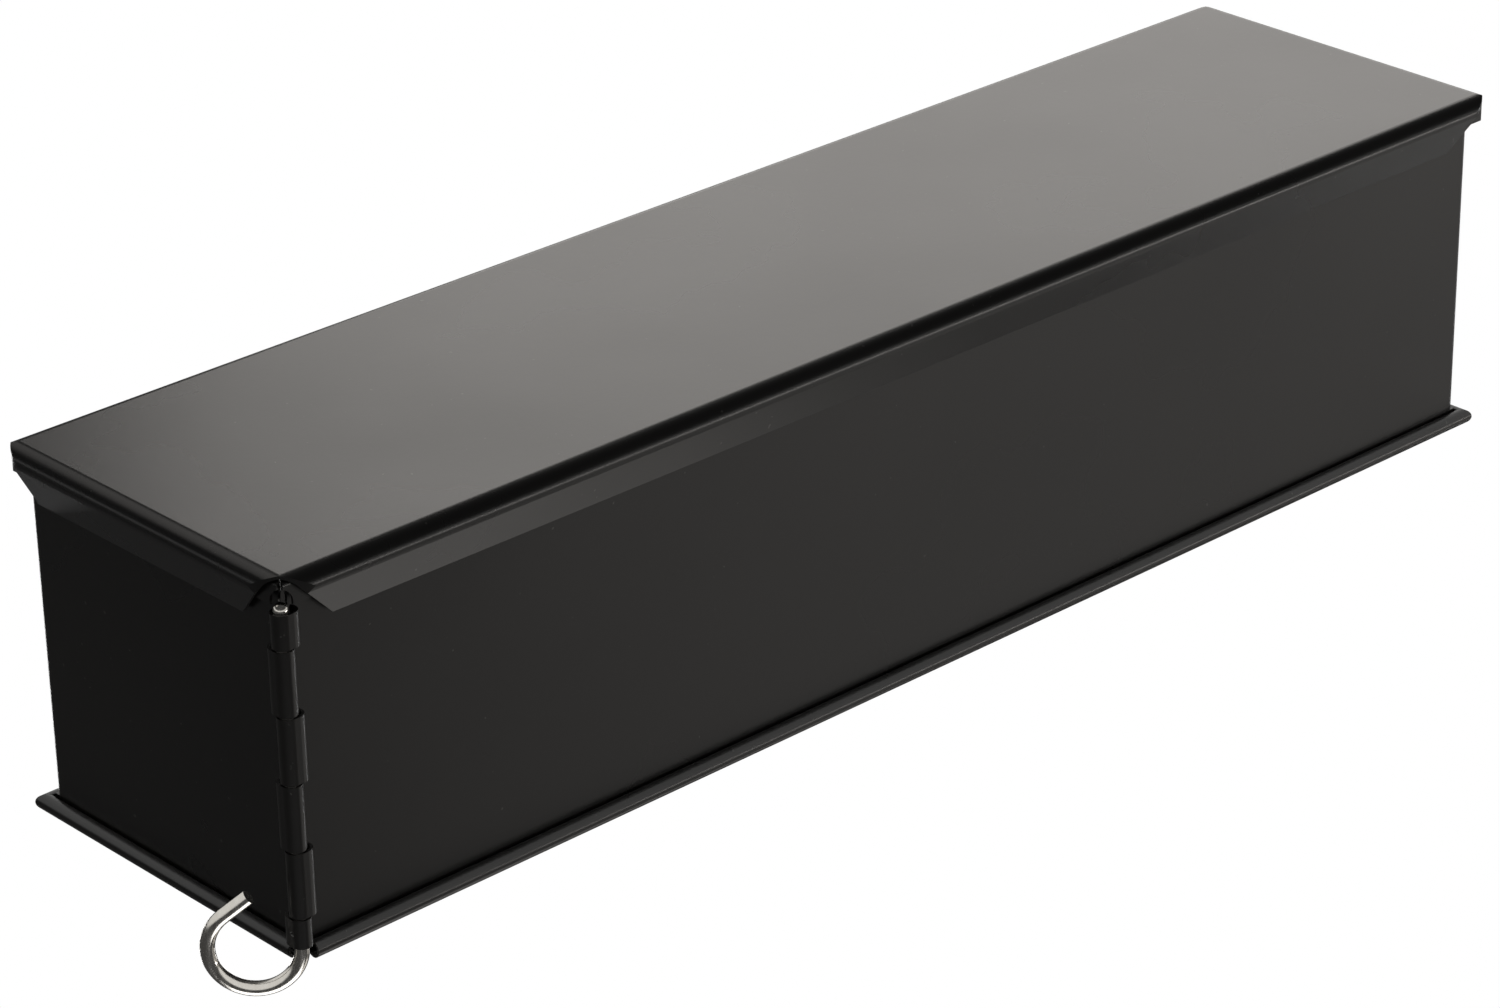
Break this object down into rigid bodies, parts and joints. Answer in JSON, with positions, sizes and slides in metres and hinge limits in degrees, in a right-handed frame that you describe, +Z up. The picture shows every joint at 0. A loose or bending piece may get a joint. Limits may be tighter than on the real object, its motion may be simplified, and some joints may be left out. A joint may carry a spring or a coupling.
{
  "type": "hinged loaf pan",
  "caption": "Collapsible loaf mould of black non-stick sheet steel: two L-shaped sides hinged on removable wire pins, hooked into a removable base plate.",
  "frame": {"origin": "centre of the base plate's underside", "axes": "+X along the mould, +Z up to the open mouth; the front long wall faces -Y and the front hinge pin is at the +X, -Y corner"},
  "size_m": [0.3738, 0.0876, 0.0888],
  "materials": {
    "nonstick_steel": "satin black non-stick coating",
    "pin_wire": "bright drawn wire"
  },
  "bodies": {
    "base": {"base_plate": "nonstick_steel"},
    "front_side": {"front_side_shell": "nonstick_steel"},
    "back_side": {"back_side_shell": "nonstick_steel"},
    "front_pin": {"front_hinge_pin": "pin_wire"},
    "back_pin": {"back_hinge_pin": "pin_wire"}
  },
  "joints": [
    {"name": "side_lift", "type": "slide", "parent": "base", "child": "front_side", "axis": [0, 0, 1], "range_m": [0, 0.06], "deforming": ["base_plate"]},
    {"name": "side_swing", "type": "hinge", "parent": "front_side", "child": "back_side", "pos_m": [0.17206, -0.04156, 0], "axis": [0, 0, -1], "range_deg": [0, 180], "deforming": ["base_plate"]},
    {"name": "front_pin_pull", "type": "slide", "parent": "back_side", "child": "front_pin", "axis": [0, 0, 1], "range_m": [0, 0.08]},
    {"name": "back_pin_pull", "type": "slide", "parent": "front_side", "child": "back_pin", "axis": [0, 0, 1], "range_m": [0, 0.08]}
  ]
}
